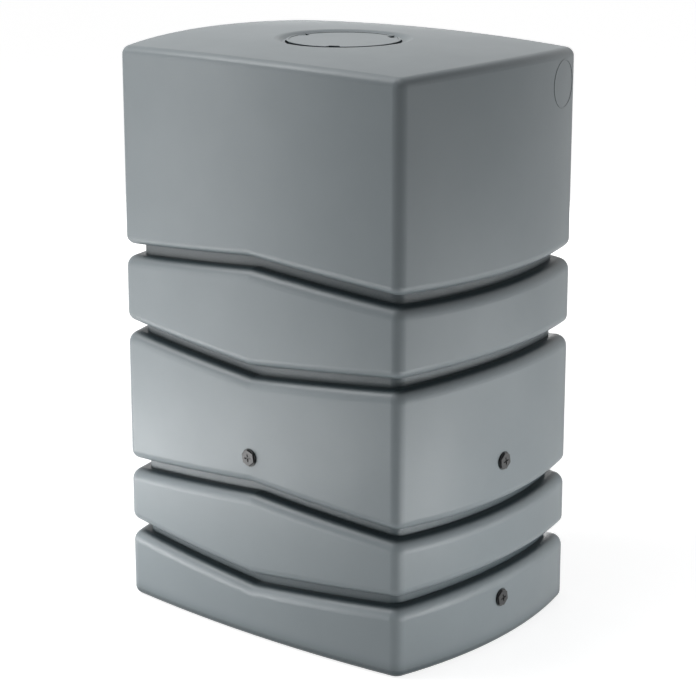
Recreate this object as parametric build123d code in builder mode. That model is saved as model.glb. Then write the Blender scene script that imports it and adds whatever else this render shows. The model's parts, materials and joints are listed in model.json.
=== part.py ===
from build123d import *

# Blow-moulded rainwater tank with wavy bands, a screw lid in its crowned top and three plugged ports.
# Millimetres, +Z up. The origin is on the floor, under the middle of the body. The wide front faces -Y.
import os
from math import atan2, cos, degrees, hypot, radians, sin, tan

# Body plan, measured between the sharp corners, and the bow of each face beyond them
corner_width = 781.0
corner_depth = 620.0
front_bow = 24.0
side_bow = 47.0
corner_radius = 29.0
wall = 5.0

# Height at the top of the crown, and the crown's radii of curvature along X and Y
height = 1300.0
crown_radius_x = 7370.0
crown_radius_y = 3970.0
top_edge_radius = 20.0
base_edge_radius = 19.0

# Grooves, lowest first: height of each upper lip at the corners, and its rise at the middle of the front
groove_heights = [184.0, 330.5, 660.5, 834.0]
groove_rises = [-35.0, 31.0, -36.0, 31.5]
groove_depth = 35.0
groove_wall = 26.0
groove_corner_radius = 28.0
lip_radius = 20.0
shoulder_radius = 26.0

# Lid recess and filler neck, on an axis a little forward of the middle: a shallow dish round a narrow well
lid_offset = 13.0
dish_radius = 152.0
dish_floor_radius = 134.0
dish_depth = 9.0
dish_edge_radius = 20.0
well_radius = 128.0
well_depth = 26.0
neck_bore_radius = 92.0
neck_wall = 7.0
neck_rise = 14.0

# Lid and its seal
lid_radius = 125.0
lid_thickness = 4.0
lid_bead_height = 1.0
lid_bead_width = 5.0
lid_edge_chamfer = 0.8
lid_edge_undercut = 3.6
lid_rim_depth = 9.0
lid_rim_width = 4.0
lid_thread_clearance = 2.5
lid_skirt_wall = 4.0
lid_skirt_depth = 12.0
lid_notch_count = 3
lid_notch_angle = -61.0
lid_notch_width = 31.0
lid_notch_taper = 4.0
lid_notch_depth = 19.0
lid_rib_count = 6
lid_rib_thickness = 3.0
lid_rib_height = 5.0
lid_rib_clearance = 4.0
lid_hub_radius = 20.0
seal_thickness = 3.0
seal_margin = 0.5

# Ports: height of each, and the seat and boss moulded round it
front_port_height = 420.0
side_port_height = 420.0
drain_port_height = 104.5
port_seat_clearance = 1.5
port_seat_depth = 1.0
port_boss_wall = 6.0
port_boss_end = 3.0

# Threaded bush, washer and plug of a port
thread_radius = 12.0
thread_clearance = 0.06
bush_wall = 4.5
bush_length = 17.0
bush_collar_rise = 2.5
bush_collar_width = 3.0
washer_clearance = 0.6
washer_width = 4.4
washer_thickness = 2.0
plug_shank_length = 14.0
plug_shank_wall = 4.0
plug_flange_radius = 19.0
plug_flange_thickness = 1.8
plug_hex_flats = 32.0
plug_hex_height = 3.8
plug_hex_turn = 10.0
plug_hex_chamfer = 0.8
plug_cross_length = 17.0
plug_cross_width = 3.4
plug_cross_depth = 2.6

# Raised circle high on the right side, near the back
ring_mark_radius = 52.0
ring_mark_width = 2.4
ring_mark_proud = 0.7
ring_mark_back = 236.0
ring_mark_height = 1208.0

os.makedirs("parts", exist_ok=True)

# Places worked out from the sizes above
reach = corner_width + 2 * side_bow
front_face_y = -corner_depth / 2 - front_bow
side_face_x = corner_width / 2 + side_bow
band_count = len(groove_heights) + 1
core_bottom = base_edge_radius
core_top = groove_heights[-1] + 2 * abs(groove_rises[-1]) + 2 * lip_radius

dish_floor = height - dish_depth
dish_slope = degrees(atan2(dish_depth, dish_radius - dish_floor_radius))
recess_floor = height - well_depth
neck_radius = neck_bore_radius + neck_wall
neck_top = recess_floor + neck_rise
lid_underside = neck_top + seal_thickness
lid_top = lid_underside + lid_thickness
lid_skirt_radius = neck_radius + lid_thread_clearance
lid_rib_turn = lid_notch_angle + 180 / lid_rib_count
lid_rim_radius = lid_radius - lid_edge_undercut

bush_bore_radius = thread_radius + thread_clearance
bush_radius = bush_bore_radius + bush_wall
bush_collar_radius = bush_radius + bush_collar_rise
port_boss_radius = bush_collar_radius + port_boss_wall
port_boss_length = port_seat_depth + bush_length + port_boss_end
port_seat_radius = plug_flange_radius + port_seat_clearance
washer_bore_radius = thread_radius + washer_clearance

# The middle of each port on its face; Z points out of the tank
front_port = Plane((0, front_face_y, front_port_height), x_dir=(1, 0, 0), z_dir=(0, -1, 0))
side_port = Plane((side_face_x, 0, side_port_height), x_dir=(0, 1, 0), z_dir=(1, 0, 0))
drain_port = Plane((side_face_x, 0, drain_port_height), x_dir=(0, 1, 0), z_dir=(1, 0, 0))
ports = [front_port, side_port, drain_port]


def body_plan(inset, radius):
    """The plan outline: four bowed sides with rounded corners, set in from the outer faces."""
    x = corner_width / 2
    y = corner_depth / 2
    with BuildSketch() as plan:
        with BuildLine():
            ThreePointArc((-x, -y), (0, -y - front_bow), (x, -y))
            ThreePointArc((x, -y), (x + side_bow, 0), (x, y))
            ThreePointArc((x, y), (0, y + front_bow), (-x, y))
            ThreePointArc((-x, y), (-x - side_bow, 0), (-x, -y))
        make_face()
        if inset:
            offset(amount=-inset, kind=Kind.INTERSECTION, mode=Mode.REPLACE)
        fillet(plan.vertices(), radius)
    return plan.sketch


def plan_block(inset, radius, low, high):
    """The plan outline as an upright block between two heights."""
    with BuildPart() as block:
        with BuildSketch(Plane.XY.offset(low)):
            add(body_plan(inset, radius))
        extrude(amount=high - low)
    return block.part


def crown(drop):
    """A barrel whose upper surface is the body's crowned top, lowered by drop."""
    top = height - drop
    axis_height = top - crown_radius_y
    end = crown_radius_x - (crown_radius_x**2 - reach**2) ** 0.5
    with BuildPart() as barrel:
        with BuildSketch(Plane.XZ):
            with BuildLine():
                ThreePointArc((-reach, top - end), (0, top), (reach, top - end))
                Polyline((reach, top - end), (reach, axis_height), (-reach, axis_height), (-reach, top - end))
            make_face()
        revolve(axis=Axis((0, 0, axis_height), (1, 0, 0)), revolution_arc=360)
    return barrel.part


def facing(shape, low, high):
    """The faces whose normal, at their middle, points up by between low and high (its Z part)."""
    return shape.faces().filter_by(lambda f: low <= f.normal_at().Z <= high)


def rim_edges(shape, low, high):
    """The edges between the upright sides and the faces that point up by between low and high, off the mid plane."""
    sides = facing(shape, -0.1, 0.1).edges()
    edges = facing(shape, low, high).edges().filter_by(lambda e: any(e.is_same(side) for side in sides))
    return edges.filter_by(lambda e: max(v.X for v in e.vertices()) > 1)


def rounding(edges, radius, turn, inside):
    """Round the edges between faces that turn by so many degrees, or inside cut the flat that touches that round."""
    if inside:
        chamfer(edges, 2 * radius * (1 - cos(radians(turn / 2))) / sin(radians(turn)))
    else:
        fillet(edges, radius)


def band(number, inset):
    """One band of the body, from the groove below it to the groove above it, set in from the outer faces.

    Its right half is modelled between slanted planes and then mirrored, so its peak or dip stays sharp.
    """
    low, low_rise = (0.0, 0.0) if number == 0 else (groove_heights[number - 1], groove_rises[number - 1])
    is_top = number == band_count - 1
    high, high_rise = (2 * height, 0.0) if is_top else (groove_heights[number] - groove_wall, groove_rises[number])
    beyond = 1 - reach / (corner_width / 2)
    lower_radius = base_edge_radius if number == 0 else lip_radius
    with BuildPart() as half:
        with BuildSketch(Plane.XZ):
            Polygon(
                (0, low + low_rise + inset),
                (reach, low + low_rise * beyond + inset),
                (reach, high + high_rise * beyond - inset),
                (0, high + high_rise - inset),
                align=None,
            )
        extrude(amount=reach, both=True)
        add(plan_block(inset, corner_radius - inset, 0, 2 * height), mode=Mode.INTERSECT)
        if is_top:
            add(crown(inset), mode=Mode.INTERSECT)
        rounding(rim_edges(half, -1, -0.9), lower_radius - inset, 90, inset > 0)
        upper_radius = top_edge_radius if is_top else shoulder_radius
        rounding(rim_edges(half, 0.9, 1), upper_radius - inset, 90, inset > 0)
        mirror(about=Plane.YZ)
    return half.part


def body_solid(inset):
    """The body's outer form, or the space within its wall: the bands on a core that reaches the groove bottoms."""
    with BuildPart() as solid:
        add(plan_block(groove_depth + inset, groove_corner_radius - inset, core_bottom, core_top))
        for number in range(band_count):
            add(band(number, inset))
    return solid.part


def recess(margin):
    """The round recess for the lid, a dish with a well in it, grown by margin for the wall round it."""
    floor = recess_floor - margin
    dish_corner = dish_floor_radius + margin * tan(radians(dish_slope / 2))
    with BuildPart() as pan:
        with BuildSketch(Plane.XZ.offset(lid_offset)):
            Polygon(
                (0, floor),
                (well_radius + margin, floor),
                (well_radius + margin, dish_floor - margin),
                (dish_corner, dish_floor - margin),
                (dish_corner + 2 * (dish_radius - dish_floor_radius), dish_floor - margin + 2 * dish_depth),
                (0, dish_floor - margin + 2 * dish_depth),
                align=None,
            )
        revolve(axis=Axis((0, -lid_offset, 0), (0, 0, 1)))
    return pan.part


def on_dish_lip(edge):
    """True for an edge of the body that lies on the dish's lip."""
    middle = (dish_radius + dish_floor_radius) / 2
    return all(
        v.Z > dish_floor + dish_depth / 4 and middle < hypot(v.X, v.Y + lid_offset) < 2 * dish_radius - middle
        for v in edge.vertices()
    )


def lid_ring(outer, inner, low, high):
    """An upright ring on the lid's axis, or a disc where inner is 0."""
    with BuildPart() as ring:
        with BuildSketch(Plane((0, -lid_offset, low))):
            Circle(outer)
            if inner:
                Circle(inner, mode=Mode.SUBTRACT)
        extrude(amount=high - low)
    return ring.part


def lid_notches(margin, low, high):
    """The finger notches in the lid's edge, grown by margin for the wall round them."""
    near = lid_radius - lid_notch_depth - margin
    far = lid_radius + lid_rim_width
    half_width = lid_notch_width / 2 + margin
    with BuildPart() as notches:
        with BuildSketch(Plane((0, -lid_offset, low))):
            with PolarLocations(0, lid_notch_count, start_angle=lid_notch_angle):
                Polygon(
                    (near, -half_width + lid_notch_taper),
                    (far, -half_width),
                    (far, half_width),
                    (near, half_width - lid_notch_taper),
                    align=None,
                )
        extrude(amount=high - low)
    return notches.part


def lid_ribs(inner, outer):
    """Radial ribs below the lid's disc, turned to pass between its notches."""
    with BuildPart() as ribs:
        with BuildSketch(Plane((0, -lid_offset, lid_underside - lid_rib_height))):
            with PolarLocations(0, lid_rib_count, start_angle=lid_rib_turn):
                with Locations(((inner + outer) / 2, 0)):
                    Rectangle(outer - inner, lid_rib_thickness)
        extrude(amount=lid_rib_height)
    return ribs.part


def port_disc(port, radius, start, end):
    """A disc on a port's axis, between two distances out of the tank's face."""
    with BuildPart() as disc:
        with BuildSketch(port.offset(start)):
            Circle(radius)
        extrude(amount=end - start)
    return disc.part


def bush_outline(port):
    """The outside of a bush: a barrel with a collar on its inner end, which keys it into the boss."""
    inner_end = -port_seat_depth - bush_length
    with BuildPart() as outline:
        add(port_disc(port, bush_radius, inner_end, -port_seat_depth))
        add(port_disc(port, bush_collar_radius, inner_end, inner_end + bush_collar_width))
    return outline.part


def make_bush(port):
    with BuildPart() as bush:
        add(bush_outline(port))
        add(port_disc(port, bush_bore_radius, -port_boss_length, 0), mode=Mode.SUBTRACT)
    return bush.part


def make_washer(port):
    outer_face = washer_thickness - port_seat_depth
    with BuildPart() as washer:
        add(port_disc(port, washer_bore_radius + washer_width, -port_seat_depth, outer_face))
        add(port_disc(port, washer_bore_radius, -port_seat_depth, outer_face), mode=Mode.SUBTRACT)
    return washer.part


def make_plug(port):
    """A threaded plug: a hollow shank, a flange on the washer and a hexagon head with a cross recess."""
    flange = washer_thickness - port_seat_depth
    head = flange + plug_flange_thickness
    face = head + plug_hex_height
    with BuildPart() as plug:
        add(port_disc(port, plug_flange_radius, flange, head))
        with BuildSketch(port.offset(head)):
            RegularPolygon(plug_hex_flats / 2, 6, major_radius=False, rotation=30 + plug_hex_turn)
        extrude(amount=plug_hex_height)
        top = plug.faces().sort_by(Axis(port.origin, port.z_dir))[-1]
        chamfer(top.edges(), plug_hex_chamfer)
        with BuildSketch(port.offset(face)):
            Rectangle(plug_cross_length, plug_cross_width, rotation=plug_hex_turn)
            Rectangle(plug_cross_width, plug_cross_length, rotation=plug_hex_turn)
        extrude(amount=-plug_cross_depth, mode=Mode.SUBTRACT)
        add(port_disc(port, thread_radius, flange - plug_shank_length, flange))
        add(port_disc(port, thread_radius - plug_shank_wall, flange - plug_shank_length, flange), mode=Mode.SUBTRACT)
    return plug.part


# The hollow of the body, which leaves the wall, the pan of the lid recess and a boss behind each port
with BuildPart() as hollow:
    add(body_solid(wall))
    add(recess(wall), mode=Mode.SUBTRACT)
    for port in ports:
        add(port_disc(port, port_boss_radius, -port_boss_length, 0), mode=Mode.SUBTRACT)

# A thin sleeve of the body's sides, cut down to the raised circle
with BuildPart() as ring_mark:
    with BuildSketch(Plane.YZ):
        with Locations((ring_mark_back, ring_mark_height)):
            Circle(ring_mark_radius + ring_mark_width / 2)
            Circle(ring_mark_radius - ring_mark_width / 2, mode=Mode.SUBTRACT)
    extrude(amount=reach)
    add(plan_block(-ring_mark_proud, corner_radius, 0, height), mode=Mode.INTERSECT)
    add(plan_block(wall / 2, corner_radius, 0, height), mode=Mode.SUBTRACT)

# Body
with BuildPart() as tank_body:
    add(body_solid(0))
    add(hollow.part, mode=Mode.SUBTRACT)
    add(recess(0), mode=Mode.SUBTRACT)
    fillet(tank_body.edges().filter_by(on_dish_lip), dish_edge_radius)
    add(lid_ring(neck_radius, 0, recess_floor, neck_top))
    add(lid_ring(neck_bore_radius, 0, recess_floor - 2 * wall, neck_top), mode=Mode.SUBTRACT)
    for port in ports:
        add(port_disc(port, port_seat_radius, -port_seat_depth, wall), mode=Mode.SUBTRACT)
        add(bush_outline(port), mode=Mode.SUBTRACT)
        add(port_disc(port, bush_bore_radius, -port_boss_length - wall, 0), mode=Mode.SUBTRACT)
    add(ring_mark.part)
tank_body.part.label = "tank_body"
export_step(tank_body.part, "parts/tank_body.step")

# The walls that carry the lid's rim round its notches
with BuildPart() as notch_walls:
    add(lid_notches(lid_rim_width, lid_underside - lid_rim_depth, lid_underside))
    add(lid_ring(lid_rim_radius, 0, lid_underside - lid_rim_depth, lid_underside), mode=Mode.INTERSECT)

# Lid: disc with a raised bead, rim, threaded skirt, hub and ribs, and three finger notches
with BuildPart() as lid:
    add(lid_ring(lid_radius, 0, lid_underside, lid_top + lid_bead_height))
    chamfer(lid.edges().sort_by(Axis.Z)[-1], lid_edge_chamfer)
    chamfer(lid.edges().sort_by(Axis.Z)[0], lid_edge_undercut)
    add(lid_ring(lid_radius - lid_bead_width, 0, lid_top, lid_top + lid_bead_height), mode=Mode.SUBTRACT)
    add(lid_ring(lid_rim_radius, lid_rim_radius - lid_rim_width, lid_underside - lid_rim_depth, lid_underside))
    add(notch_walls.part)
    add(lid_notches(0, lid_underside - lid_rim_depth, lid_top + lid_bead_height), mode=Mode.SUBTRACT)
    add(lid_ring(lid_skirt_radius + lid_skirt_wall, lid_skirt_radius, lid_underside - lid_skirt_depth, lid_underside))
    add(lid_ring(lid_hub_radius, 0, lid_underside - lid_rib_height, lid_underside))
    add(lid_ribs(lid_hub_radius / 2, neck_bore_radius - lid_rib_clearance))
    add(lid_ribs(lid_skirt_radius + lid_skirt_wall / 2, lid_rim_radius - lid_rim_width / 2))
lid.part.label = "lid"
export_step(lid.part, "parts/lid.step")

# Lid seal: a flat ring on the neck
with BuildPart() as lid_seal:
    add(lid_ring(neck_radius - seal_margin, neck_bore_radius + seal_margin, neck_top, lid_underside))
lid_seal.part.label = "lid_seal"
export_step(lid_seal.part, "parts/lid_seal.step")

# Front port
with BuildPart() as front_port_bush:
    add(make_bush(front_port))
front_port_bush.part.label = "front_port_bush"
export_step(front_port_bush.part, "parts/front_port_bush.step")

with BuildPart() as front_port_seal:
    add(make_washer(front_port))
front_port_seal.part.label = "front_port_seal"
export_step(front_port_seal.part, "parts/front_port_seal.step")

with BuildPart() as front_port_plug:
    add(make_plug(front_port))
front_port_plug.part.label = "front_port_plug"
export_step(front_port_plug.part, "parts/front_port_plug.step")

# Side port
with BuildPart() as side_port_bush:
    add(make_bush(side_port))
side_port_bush.part.label = "side_port_bush"
export_step(side_port_bush.part, "parts/side_port_bush.step")

with BuildPart() as side_port_seal:
    add(make_washer(side_port))
side_port_seal.part.label = "side_port_seal"
export_step(side_port_seal.part, "parts/side_port_seal.step")

with BuildPart() as side_port_plug:
    add(make_plug(side_port))
side_port_plug.part.label = "side_port_plug"
export_step(side_port_plug.part, "parts/side_port_plug.step")

# Drain port, near the floor
with BuildPart() as drain_port_bush:
    add(make_bush(drain_port))
drain_port_bush.part.label = "drain_port_bush"
export_step(drain_port_bush.part, "parts/drain_port_bush.step")

with BuildPart() as drain_port_seal:
    add(make_washer(drain_port))
drain_port_seal.part.label = "drain_port_seal"
export_step(drain_port_seal.part, "parts/drain_port_seal.step")

with BuildPart() as drain_port_plug:
    add(make_plug(drain_port))
drain_port_plug.part.label = "drain_port_plug"
export_step(drain_port_plug.part, "parts/drain_port_plug.step")
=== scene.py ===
import json
from math import cos, pi, radians, sin

import bmesh
import bpy
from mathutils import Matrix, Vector


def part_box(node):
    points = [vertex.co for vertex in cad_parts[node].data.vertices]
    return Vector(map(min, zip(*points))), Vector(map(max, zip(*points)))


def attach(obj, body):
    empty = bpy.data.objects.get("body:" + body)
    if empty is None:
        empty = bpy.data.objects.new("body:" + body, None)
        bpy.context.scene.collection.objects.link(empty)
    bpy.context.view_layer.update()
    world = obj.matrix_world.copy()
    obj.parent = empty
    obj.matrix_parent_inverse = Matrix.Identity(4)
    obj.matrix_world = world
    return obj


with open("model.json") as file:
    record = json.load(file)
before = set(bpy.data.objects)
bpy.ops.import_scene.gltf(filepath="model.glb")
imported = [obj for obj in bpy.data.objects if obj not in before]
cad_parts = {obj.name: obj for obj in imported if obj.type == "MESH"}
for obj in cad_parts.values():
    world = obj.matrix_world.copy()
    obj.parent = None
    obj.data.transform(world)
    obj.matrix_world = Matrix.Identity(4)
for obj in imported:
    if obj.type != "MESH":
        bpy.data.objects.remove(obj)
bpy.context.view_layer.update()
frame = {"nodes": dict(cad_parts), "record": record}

# Camera: where the photograph was taken from, in degrees and metres, and how its frame was cut
camera_azimuth = 39.46
camera_elevation = 14.89
camera_distance = 4.9277
camera_target = Vector((0, 0, 0.65))
camera_lens_mm = 112.97
camera_sensor_mm = 36
camera_shift_x = 0.00095
camera_shift_y = -0.03365

# Floor: its side in metres, its grey, and the lift that shows it nearly white. The lift grows between
# two distances from the tank, so that the tank's shadow stays visible near it
floor_size = 60
floor_tone = 0.6
floor_roughness = 0.9
floor_specular = 0.1
floor_lift_near = 0.8
floor_lift_far = 0.95
floor_lift_start = 1.0
floor_lift_end = 4.5

# Surround: how strongly it lights the tank, and how strongly it shows as the backdrop, where 1 is white
white = (1, 1, 1, 1)
surround_light = 0.02
surround_seen = 1

# Lamps round the tank: azimuth and elevation in degrees as the camera's, sizes in metres, power in watts
lamp_setup = {
    "key_high": {"azimuth": -56, "elevation": 46, "distance": 4.5, "size": (1.6, 1.6), "power": 64},
    "strip_left": {"azimuth": -46, "elevation": 3, "distance": 4.0, "size": (1.4, 2.8), "power": 48},
    "strip_right": {"azimuth": 106, "elevation": 4, "distance": 4.0, "size": (1.4, 3.0), "power": 13},
    "low_front": {"azimuth": -50, "elevation": -12, "distance": 2.1, "size": (1.6, 0.4), "power": 3.6},
    "low_right": {"azimuth": 115, "elevation": -12, "distance": 1.9, "size": (1.6, 0.4), "power": 5.2},
    "floor_front": {"azimuth": -38, "elevation": -24, "distance": 1.35, "size": (1.4, 0.16), "power": 5.6},
    "floor_right": {"azimuth": 84, "elevation": -24, "distance": 1.35, "size": (1.2, 0.16), "power": 4.8},
    "back_low": {"azimuth": 215, "elevation": 0, "distance": 4.6, "size": (2.4, 1.2), "power": 45},
    "top_soft": {"azimuth": -60, "elevation": 74, "distance": 4.0, "size": (3.2, 3.2), "power": 60},
}

# Screw threads of the lid, in metres: the neck's ridge stands outwards, the lid's stands inwards. Each
# ridge reaches a little into its wall, and its height grows and fades over a run-out
neck_radius = 0.099
neck_ridge_height = 0.0011
neck_ridge_low = 1.2782
lid_skirt_radius = 0.1015
lid_ridge_height = 0.0011
lid_ridge_low = 1.2822
ridge_width = 0.0026
ridge_crest = 0.0010
ridge_root = 0.0004
ridge_pitch = 0.0040
ridge_turns = 1.6
ridge_run_out = radians(24)
ridge_steps = 220

# Screw threads of the plugs, in metres: their pitch, their relief, and the head that stays plain
plug_pitch = 0.001814
plug_thread_depth = 0.0009
plug_head = 0.0064

# Each plug's thread axis, 0 for the part's x and 1 for its y, and the way out along it
plug_axes = {"front_port_plug": (1, -1), "side_port_plug": (0, 1), "drain_port_plug": (0, 1)}

# Patterns of moulded plastic: how many of their waves go into a metre, and how finely they break up
mottle_scale = 9
mottle_detail = 5
grain_detail = 2
wave_scale = 6
wave_detail = 1

# Painted shade in deep hollows: the share of open sky, of 1, where the painted shade is darkest and where
# the plain tone is back, and how many rays measure that share
painted_shade_deep = 0.4
painted_shade_open = 0.92
painted_shade_samples = 12

# What a finish can set on the moulded surface, and the value where it doesn't. Low Gloss and High Gloss
# are the roughness of the dark and the light mottle. A shade tone and a reach set the painted shade in
# deep hollows. Reach and depths are in metres
moulded_inputs = {
    "Light Tone": (0.25, 0.28, 0.29, 1),
    "Dark Tone": (0.22, 0.25, 0.26, 1),
    "Hollow Tone": (0.5, 0.5, 0.5, 1),
    "Painted Shade Reach": 0.06,
    "Low Gloss": 0.5,
    "High Gloss": 0.4,
    "Grain Scale": 600.0,
    "Grain Depth": 0.00004,
    "Wave Depth": 0.0004,
}


def add_object(name, data):
    """A new object in the scene."""
    thing = bpy.data.objects.new(name, data)
    bpy.context.scene.collection.objects.link(thing)
    return thing


def add_facing(name, data, azimuth, elevation, distance):
    """A camera or lamp that faces the middle of the tank, level in roll; azimuth 0 is in front of it."""
    turn, rise = radians(azimuth), radians(elevation)
    back = Vector((sin(turn) * cos(rise), -cos(turn) * cos(rise), sin(rise)))
    thing = add_object(name, data)
    thing.location = camera_target + back * distance
    thing.rotation_mode = "QUATERNION"
    thing.rotation_quaternion = (-back).to_track_quat("-Z", "Y")
    return thing


def place_camera():
    """The camera of the photograph."""
    data = bpy.data.cameras.new("photo_camera")
    data.sensor_fit = "HORIZONTAL"
    data.sensor_width = camera_sensor_mm
    data.lens = camera_lens_mm
    data.shift_x = camera_shift_x
    data.shift_y = camera_shift_y
    camera = add_facing("photo_camera", data, camera_azimuth, camera_elevation, camera_distance)
    bpy.context.scene.camera = camera


def place_lamp(name, azimuth, elevation, distance, size, power):
    """A soft rectangular lamp that the camera doesn't see."""
    data = bpy.data.lights.new(name, "AREA")
    data.shape = "RECTANGLE"
    data.size, data.size_y = size
    data.energy = power
    lamp = add_facing(name, data, azimuth, elevation, distance)
    lamp.visible_camera = False


def thread_ridge(name, centre, radius, height, low, body, slot):
    """A helical ridge with run-outs on a round wall; a negative height stands inwards."""
    centre_x, centre_y = centre
    foot, top = ridge_width / 2, ridge_crest / 2
    section = ((-foot, False), (-top, True), (top, True), (foot, False))
    root = -ridge_root if height > 0 else ridge_root
    sweep = ridge_turns * 2 * pi
    mesh = bmesh.new()
    rows = []
    for step in range(ridge_steps + 1):
        angle = sweep * step / ridge_steps
        rise = low + ridge_pitch * angle / (2 * pi)
        full = min(1, angle / ridge_run_out, (sweep - angle) / ridge_run_out)
        row = []
        for offset, crest in section:
            reach = radius + (height * full if crest else root)
            place = (centre_x + reach * cos(angle), centre_y + reach * sin(angle), rise + offset)
            row.append(mesh.verts.new(place))
        rows.append(row)
    count = len(section)
    for first, second in zip(rows, rows[1:]):
        for index in range(count):
            after = (index + 1) % count
            mesh.faces.new((first[index], first[after], second[after], second[index]))
    mesh.faces.new(rows[0])
    mesh.faces.new(rows[-1][::-1])
    bmesh.ops.recalc_face_normals(mesh, faces=mesh.faces)
    for face in mesh.faces:
        face.smooth = True
    data = bpy.data.meshes.new(name)
    mesh.to_mesh(data)
    mesh.free()
    ridge = add_object(name, data)
    data.materials.append(finishes[slot])
    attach(ridge, body)


def new_material(name):
    """A new material with its Principled shader, and its nodes and links."""
    material = bpy.data.materials.new(name)
    material.use_nodes = True
    return material, material.node_tree.nodes, material.node_tree.links


def srgb(red, green, blue):
    """A colour written as it looks on screen, 0 to 255, as the shader's linear values."""
    def linear(value):
        value /= 255
        return value / 12.92 if value <= 0.04045 else ((value + 0.055) / 1.055) ** 2.4

    return (linear(red), linear(green), linear(blue), 1)


def backdrop_seen(nodes, links):
    """1 for rays that show the backdrop: from the camera, in a reflection or through glass."""
    path = nodes.new("ShaderNodeLightPath")
    total = path.outputs["Is Camera Ray"]
    for name in ("Is Glossy Ray", "Is Transmission Ray"):
        either = nodes.new("ShaderNodeMath")
        either.operation = "MAXIMUM"
        links.new(total, either.inputs[0])
        links.new(path.outputs[name], either.inputs[1])
        total = either.outputs["Value"]
    return total


def build_floor():
    """A wide pale floor that stays nearly white to the camera and keeps the tank's shadow."""
    mesh = bpy.data.meshes.new("studio_floor")
    half = floor_size / 2
    corners = [(-half, -half, 0), (half, -half, 0), (half, half, 0), (-half, half, 0)]
    mesh.from_pydata(corners, [], [(0, 1, 2, 3)])
    floor = add_object("studio_floor", mesh)
    material, nodes, links = new_material("pale_floor")
    shader = nodes["Principled BSDF"]
    shader.inputs["Base Color"].default_value = (floor_tone, floor_tone, floor_tone, 1)
    shader.inputs["Roughness"].default_value = floor_roughness
    shader.inputs["Specular IOR Level"].default_value = floor_specular
    place = nodes.new("ShaderNodeTexCoord")
    reach = nodes.new("ShaderNodeVectorMath")
    reach.operation = "LENGTH"
    links.new(place.outputs["Object"], reach.inputs[0])
    fade = nodes.new("ShaderNodeMapRange")
    fade.interpolation_type = "SMOOTHSTEP"
    fade.inputs["From Min"].default_value = floor_lift_start
    fade.inputs["From Max"].default_value = floor_lift_end
    fade.inputs["To Min"].default_value = floor_lift_near
    fade.inputs["To Max"].default_value = floor_lift_far
    links.new(reach.outputs["Value"], fade.inputs["Value"])
    lift = nodes.new("ShaderNodeEmission")
    links.new(fade.outputs["Result"], lift.inputs["Strength"])
    nothing = nodes.new("ShaderNodeEmission")
    nothing.inputs["Strength"].default_value = 0
    seen = nodes.new("ShaderNodeMixShader")
    links.new(backdrop_seen(nodes, links), seen.inputs["Fac"])
    links.new(nothing.outputs["Emission"], seen.inputs[1])
    links.new(lift.outputs["Emission"], seen.inputs[2])
    total = nodes.new("ShaderNodeAddShader")
    links.new(shader.outputs["BSDF"], total.inputs[0])
    links.new(seen.outputs["Shader"], total.inputs[1])
    links.new(total.outputs["Shader"], nodes["Material Output"].inputs["Surface"])
    mesh.materials.append(material)


def build_world():
    """A surround that lights the tank faintly and shows as plain white behind it."""
    world = bpy.data.worlds.new("studio_world")
    bpy.context.scene.world = world
    world.use_nodes = True
    nodes, links = world.node_tree.nodes, world.node_tree.links
    surround = nodes["Background"]
    surround.inputs["Color"].default_value = white
    surround.inputs["Strength"].default_value = surround_light
    seen = nodes.new("ShaderNodeBackground")
    seen.inputs["Color"].default_value = white
    seen.inputs["Strength"].default_value = surround_seen
    mix = nodes.new("ShaderNodeMixShader")
    links.new(backdrop_seen(nodes, links), mix.inputs["Fac"])
    links.new(surround.outputs["Background"], mix.inputs[1])
    links.new(seen.outputs["Background"], mix.inputs[2])
    links.new(mix.outputs["Shader"], nodes["World Output"].inputs["Surface"])


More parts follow.
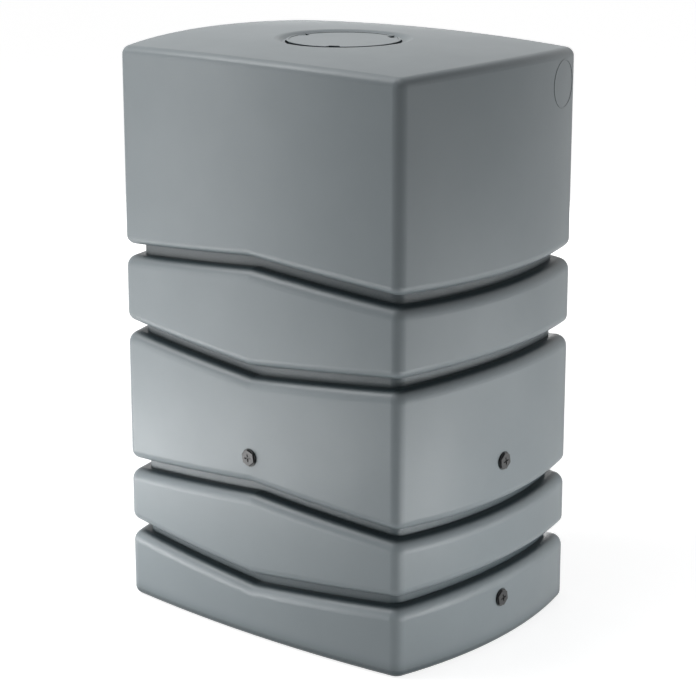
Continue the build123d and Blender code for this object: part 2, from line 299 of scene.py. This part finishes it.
def moulded_surface_group():
    """A moulded surface: a faint mottle, painted shade that darkens deep hollows, a fine grain and slow
    waves.
    """
    group = bpy.data.node_groups.new("moulded_surface", "ShaderNodeTree")
    sockets = group.interface
    for name, value in moulded_inputs.items():
        kind = "NodeSocketColor" if isinstance(value, tuple) else "NodeSocketFloat"
        socket = sockets.new_socket(name=name, in_out="INPUT", socket_type=kind)
        socket.default_value = value
    sockets.new_socket(name="Color", in_out="OUTPUT", socket_type="NodeSocketColor")
    sockets.new_socket(name="Roughness", in_out="OUTPUT", socket_type="NodeSocketFloat")
    sockets.new_socket(name="Normal", in_out="OUTPUT", socket_type="NodeSocketVector")
    nodes, links = group.nodes, group.links
    entry = nodes.new("NodeGroupInput")
    leave = nodes.new("NodeGroupOutput")
    place = nodes.new("ShaderNodeTexCoord")

    def pattern(detail):
        """A noise that keeps its place on the part."""
        noise = nodes.new("ShaderNodeTexNoise")
        noise.inputs["Detail"].default_value = detail
        links.new(place.outputs["Object"], noise.inputs["Vector"])
        return noise

    def blend(kind, share, first, second):
        """The first where the share is 0, the second where it is 1."""
        mix = nodes.new("ShaderNodeMix")
        mix.data_type = kind
        links.new(share, mix.inputs["Factor"])
        links.new(first, mix.inputs["A"])
        links.new(second, mix.inputs["B"])
        return mix.outputs["Result"]

    def relief(height, depth):
        """A bump of a height between 0 and 1, at a depth in metres."""
        bump = nodes.new("ShaderNodeBump")
        links.new(height, bump.inputs["Height"])
        links.new(depth, bump.inputs["Distance"])
        return bump

    mottle = pattern(mottle_detail)
    mottle.inputs["Scale"].default_value = mottle_scale
    shade = mottle.outputs["Fac"]
    tone = blend("RGBA", shade, entry.outputs["Dark Tone"], entry.outputs["Light Tone"])
    gloss = blend("FLOAT", shade, entry.outputs["Low Gloss"], entry.outputs["High Gloss"])
    links.new(gloss, leave.inputs["Roughness"])

    # Painted shade in hollows: the tone times a darker tone where little sky is open, the plain tone
    # elsewhere
    sky = nodes.new("ShaderNodeAmbientOcclusion")
    sky.samples = painted_shade_samples
    links.new(entry.outputs["Painted Shade Reach"], sky.inputs["Distance"])
    openness = nodes.new("ShaderNodeMapRange")
    openness.interpolation_type = "SMOOTHSTEP"
    openness.inputs["From Min"].default_value = painted_shade_deep
    openness.inputs["From Max"].default_value = painted_shade_open
    links.new(sky.outputs["AO"], openness.inputs["Value"])
    hollow = nodes.new("ShaderNodeMix")
    hollow.data_type = "RGBA"
    hollow.blend_type = "MULTIPLY"
    hollow.inputs["Factor"].default_value = 1
    links.new(tone, hollow.inputs["A"])
    links.new(entry.outputs["Hollow Tone"], hollow.inputs["B"])
    shaded_tone = blend("RGBA", openness.outputs["Result"], hollow.outputs["Result"], tone)
    links.new(shaded_tone, leave.inputs["Color"])

    grain = pattern(grain_detail)
    links.new(entry.outputs["Grain Scale"], grain.inputs["Scale"])
    fine = relief(grain.outputs["Fac"], entry.outputs["Grain Depth"])
    wave = pattern(wave_detail)
    wave.inputs["Scale"].default_value = wave_scale
    slow = relief(wave.outputs["Fac"], entry.outputs["Wave Depth"])
    links.new(fine.outputs["Normal"], slow.inputs["Normal"])
    links.new(slow.outputs["Normal"], leave.inputs["Normal"])
    return group


def moulded_finish(name, light, dark, **values):
    """A finish: the moulded surface group with its own tones and values."""
    material, nodes, links = new_material(name)
    shader = nodes["Principled BSDF"]
    surface = nodes.new("ShaderNodeGroup")
    surface.node_tree = moulded_surface
    surface.inputs["Light Tone"].default_value = light
    surface.inputs["Dark Tone"].default_value = dark
    for socket, value in values.items():
        surface.inputs[socket.replace("_", " ")].default_value = value
    links.new(surface.outputs["Color"], shader.inputs["Base Color"])
    links.new(surface.outputs["Roughness"], shader.inputs["Roughness"])
    links.new(surface.outputs["Normal"], shader.inputs["Normal"])
    return material


def thread_relief_group():
    """Height of a screw thread, 0 to 1, round the axis Along, and 0 before Start; lengths in metres."""
    group = bpy.data.node_groups.new("thread_relief", "ShaderNodeTree")
    sockets = group.interface
    for name in ("Along", "Across", "Up", "Start", "Pitch"):
        sockets.new_socket(name=name, in_out="INPUT", socket_type="NodeSocketFloat")
    sockets.new_socket(name="Height", in_out="OUTPUT", socket_type="NodeSocketFloat")
    nodes, links = group.nodes, group.links
    entry = nodes.new("NodeGroupInput")
    leave = nodes.new("NodeGroupOutput")

    def compute(operation, *terms):
        """One operation on numbers and on what other nodes put out."""
        node = nodes.new("ShaderNodeMath")
        node.operation = operation
        for socket, term in zip(node.inputs, terms):
            if isinstance(term, (int, float)):
                socket.default_value = term
            else:
                links.new(term, socket)
        return node.outputs["Value"]

    # A sine runs from -1 to 1, the height from 0 to 1
    swing = middle = 0.5
    turns = compute("DIVIDE", entry.outputs["Along"], entry.outputs["Pitch"])
    lead = compute("MULTIPLY", turns, 2 * pi)
    phase = compute("ADD", lead, compute("ARCTAN2", entry.outputs["Up"], entry.outputs["Across"]))
    crest = compute("MULTIPLY_ADD", compute("SINE", phase), swing, middle)
    inside = compute("GREATER_THAN", entry.outputs["Along"], entry.outputs["Start"])
    links.new(compute("MULTIPLY", crest, inside), leave.inputs["Height"])
    return group


def add_thread(material, node_name, axis, outward):
    """Cut a thread into a plug's shank, below its head, along axis 0 or 1 of the part."""
    low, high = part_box(node_name)
    # The middle of the plug's outer face, from which the thread is measured inwards
    centre = [(first + last) / 2 for first, last in zip(low, high)]
    centre[axis] = high[axis] if outward > 0 else low[axis]
    nodes, links = material.node_tree.nodes, material.node_tree.links
    shader = nodes["Principled BSDF"]
    finished = shader.inputs["Normal"].links[0].from_socket
    place = nodes.new("ShaderNodeTexCoord")
    shift = nodes.new("ShaderNodeVectorMath")
    shift.operation = "SUBTRACT"
    shift.inputs[1].default_value = centre
    links.new(place.outputs["Object"], shift.inputs[0])
    parts = nodes.new("ShaderNodeSeparateXYZ")
    links.new(shift.outputs["Vector"], parts.inputs["Vector"])
    depth = nodes.new("ShaderNodeMath")
    depth.operation = "MULTIPLY"
    depth.inputs[1].default_value = -outward
    links.new(parts.outputs[axis], depth.inputs[0])
    thread = nodes.new("ShaderNodeGroup")
    thread.node_tree = thread_relief
    links.new(depth.outputs["Value"], thread.inputs["Along"])
    links.new(parts.outputs[1 - axis], thread.inputs["Across"])
    links.new(parts.outputs["Z"], thread.inputs["Up"])
    thread.inputs["Start"].default_value = plug_head
    thread.inputs["Pitch"].default_value = plug_pitch
    bump = nodes.new("ShaderNodeBump")
    bump.inputs["Distance"].default_value = plug_thread_depth
    links.new(thread.outputs["Height"], bump.inputs["Height"])
    links.new(finished, bump.inputs["Normal"])
    links.new(bump.outputs["Normal"], shader.inputs["Normal"])


def dress_nodes():
    """Give each CAD node the finish of its material slot, and each plug its thread."""
    slots = {row["node"]: row["material_slot"] for row in frame["record"]["subparts"]}
    for name, node in frame["nodes"].items():
        finish = finishes[slots[name]]
        if name in plug_axes:
            finish = finish.copy()
            finish.name = name + "_plastic"
            axis, outward = plug_axes[name]
            add_thread(finish, name, axis, outward)
        node.data.materials.clear()
        node.data.materials.append(finish)


moulded_surface = moulded_surface_group()
thread_relief = thread_relief_group()
finishes = {
    # The tank's deep grooves get a dark, bluish painted shade
    "tank_plastic": moulded_finish(
        "tank_polyethylene", srgb(126, 135, 139), srgb(120, 129, 133),
        Low_Gloss=0.43, High_Gloss=0.37, Hollow_Tone=(0.14, 0.2, 0.22, 1)),
    # The lid gets a darker painted shade in the gap round its rim
    "lid_plastic": moulded_finish(
        "lid_polyethylene", srgb(132, 141, 145), srgb(127, 136, 140),
        Low_Gloss=0.42, High_Gloss=0.36, Wave_Depth=0.0, Hollow_Tone=(0.1, 0.14, 0.15, 1)),
    "plug_plastic": moulded_finish(
        "plug_black_plastic", srgb(34, 36, 37), srgb(26, 27, 28),
        Low_Gloss=0.42, High_Gloss=0.32, Wave_Depth=0.0),
    "seal_rubber": moulded_finish(
        "seal_black_rubber", srgb(30, 30, 31), srgb(22, 22, 23),
        Low_Gloss=0.75, High_Gloss=0.65, Wave_Depth=0.0),
    "bush_brass": moulded_finish(
        "bush_brass", srgb(196, 160, 92), srgb(178, 142, 78),
        Low_Gloss=0.35, High_Gloss=0.25, Wave_Depth=0.0),
}
finishes["bush_brass"].node_tree.nodes["Principled BSDF"].inputs["Metallic"].default_value = 1

place_camera()
build_floor()
build_world()
for lamp_name, lamp in lamp_setup.items():
    place_lamp(lamp_name, **lamp)
dress_nodes()
lid_low, lid_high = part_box("lid")
lid_centre = ((lid_low[0] + lid_high[0]) / 2, (lid_low[1] + lid_high[1]) / 2)
thread_ridge("neck_thread", lid_centre, neck_radius, neck_ridge_height, neck_ridge_low,
             "tank", "tank_plastic")
thread_ridge("lid_thread", lid_centre, lid_skirt_radius, -lid_ridge_height, lid_ridge_low,
             "lid", "lid_plastic")

view = bpy.context.scene.view_settings
view.view_transform = "Standard"
